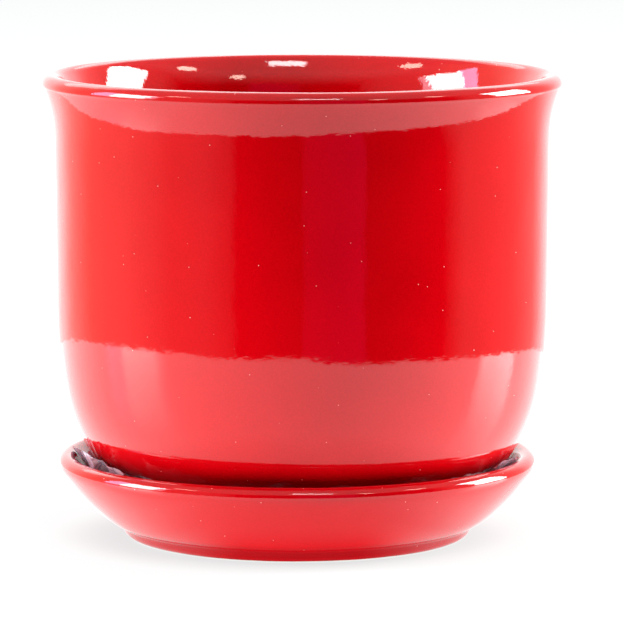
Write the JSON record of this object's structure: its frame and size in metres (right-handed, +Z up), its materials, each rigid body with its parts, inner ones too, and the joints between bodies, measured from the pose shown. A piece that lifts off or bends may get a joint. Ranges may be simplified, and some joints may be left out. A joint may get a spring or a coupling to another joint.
{
  "type": "glazed planter pot with saucer",
  "caption": "Round glazed ceramic pot with a flared, rolled rim, standing on a crumpled foil sheet in its matching saucer, for growing bulbs or small plants.",
  "frame": {"origin": "on the pot's axis, at the level of the surface that the saucer's foot stands on", "axes": "+Z up along the pot's axis; the saucer's axis is parallel to it, 1.45 mm towards -X"},
  "size_m": [0.1524, 0.1524, 0.1364],
  "materials": {
    "pot_glaze": "high gloss red glaze with fine pinholes",
    "saucer_glaze": "high gloss red glaze with fine pinholes",
    "foil": "crumpled, shiny silver foil"
  },
  "bodies": {
    "saucer": {"saucer": "saucer_glaze"},
    "foil": {"foil_liner": "foil"},
    "pot": {"pot": "pot_glaze"}
  },
  "joints": [
    {"name": "pot_turn", "type": "hinge", "parent": "saucer", "child": "foil", "pos_m": [-0.00145, 0, 0.0065], "axis": [0, 0, 1], "continuous": true},
    {"name": "pot_lift", "type": "slide", "parent": "foil", "child": "pot", "axis": [0, 0, 1], "range_m": [0, 0.12]}
  ]
}
